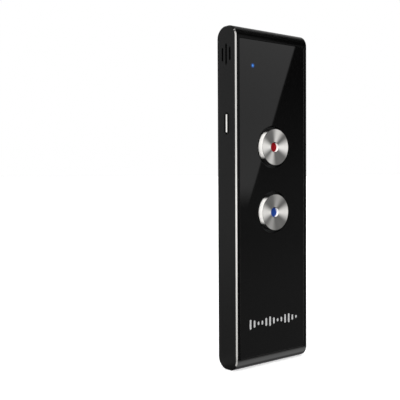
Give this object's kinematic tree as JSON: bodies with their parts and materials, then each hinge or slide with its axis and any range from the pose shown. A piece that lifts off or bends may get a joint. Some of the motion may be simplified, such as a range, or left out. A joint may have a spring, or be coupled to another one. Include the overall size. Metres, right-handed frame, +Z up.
{
  "type": "handheld translator",
  "caption": "Slim black handheld translator: two round push buttons on the front, keys and a rocker on its sides, speaker grille in the back, charging port in its end.",
  "frame": {"origin": "middle of the body's bottom end, where it stands", "axes": "+Z up the length, -Y out of the front, +X to the right seen from the front"},
  "size_m": [0.0446, 0.0135, 0.145],
  "materials": {
    "anodised_black": "satin black anodised, its side edges cut bright",
    "black_glass": "mirror-gloss black sheet",
    "black_gloss_plastic": "gloss black, a little softer than the front",
    "black_plastic": "matte black moulded plastic",
    "black_foam": "thin black foam tape",
    "screw_steel": "nickel-plated",
    "brushed_cap": "spun face with fine rings, bright bevel",
    "red_lacquer": "deep red gloss",
    "blue_lacquer": "deep blue gloss",
    "spring_steel": "bright spring steel",
    "white_plastic": "plain moulded",
    "switch_grey": "stamped cover",
    "key_black": "gloss black face, bright cut bevel",
    "flex_amber": "amber film",
    "board_green": "green lacquer over copper tracks",
    "tinned_steel": "tinned sheet",
    "chip_black": "moulded epoxy",
    "ceramic_white": "fired ceramic",
    "blue_lens": "clear blue light pipe",
    "mic_aluminium": "drawn can",
    "black_rubber": "soft black rubber",
    "black_mesh": "fine black woven mesh",
    "speaker_film": "pressed film",
    "magnet_steel": "plated magnet",
    "battery_foil": "matte foil pouch",
    "red_wire": "insulated wire",
    "contact_gold": "gold-plated spring strip",
    "ribbon_cream": "flat ribbon"
  },
  "bodies": {
    "housing": {"frame": "anodised_black", "front_panel": "black_glass", "back_cover": "black_gloss_plastic", "chassis": "black_plastic", "front_tape": "black_foam", "back_tape": "black_foam", "chassis_screws": "screw_steel", "front_switches": "switch_grey", "rocker_pin": "spring_steel", "left_key_flex": "flex_amber", "right_key_flex": "flex_amber", "key_domes": "spring_steel", "main_board": "board_green", "board_screws": "screw_steel", "shield_can": "tinned_steel", "processor_chip": "chip_black", "memory_chip": "chip_black", "antenna": "ceramic_white", "light_chip": "ceramic_white", "light_lens": "blue_lens", "left_mic": "mic_aluminium", "right_mic": "mic_aluminium", "left_mic_boot": "black_rubber", "right_mic_boot": "black_rubber", "left_mic_mesh": "black_mesh", "right_mic_mesh": "black_mesh", "speaker_frame": "black_plastic", "speaker_cone": "speaker_film", "speaker_magnet": "magnet_steel", "speaker_gasket": "black_foam", "speaker_mesh": "black_mesh", "battery": "battery_foil", "battery_board": "board_green", "battery_pad": "black_foam", "battery_leads": "red_wire", "battery_plug": "white_plastic", "charge_board": "board_green", "charge_screws": "screw_steel", "port_shell": "tinned_steel", "port_tongue": "chip_black", "port_contacts": "contact_gold", "board_ribbon": "ribbon_cream"},
    "power_button": {"power_button": "key_black"},
    "mode_button": {"mode_button": "key_black"},
    "volume_rocker": {"volume_rocker": "key_black"},
    "upper_button": {"upper_button_cap": "brushed_cap", "upper_button_disc": "red_lacquer", "upper_button_carrier": "black_plastic", "upper_button_clip": "spring_steel", "upper_switch_plunger": "white_plastic"},
    "lower_button": {"lower_button_cap": "brushed_cap", "lower_button_disc": "blue_lacquer", "lower_button_carrier": "black_plastic", "lower_button_clip": "spring_steel", "lower_switch_plunger": "white_plastic"}
  },
  "joints": [
    {"name": "upper_button_press", "type": "slide", "parent": "housing", "child": "upper_button", "axis": [0, 1, 0], "range_m": [0, 0.0004], "stiffness_N_per_m": 1400, "springref_m": -0.0005},
    {"name": "lower_button_press", "type": "slide", "parent": "housing", "child": "lower_button", "axis": [0, 1, 0], "range_m": [0, 0.0004], "stiffness_N_per_m": 1400, "springref_m": -0.0005},
    {"name": "power_button_press", "type": "slide", "parent": "housing", "child": "power_button", "axis": [1, 0, 0], "range_m": [0, 0.0003], "stiffness_N_per_m": 2000, "springref_m": -0.0003},
    {"name": "mode_button_press", "type": "slide", "parent": "housing", "child": "mode_button", "axis": [-1, 0, 0], "range_m": [0, 0.0003], "stiffness_N_per_m": 2000, "springref_m": -0.0003},
    {"name": "volume_rocker_tilt", "type": "hinge", "parent": "housing", "child": "volume_rocker", "pos_m": [0.01985, 0, 0.0819], "axis": [0, 1, 0], "range_deg": [-1.3, 1.3], "stiffness_Nm_per_rad": 0.45}
  ]
}
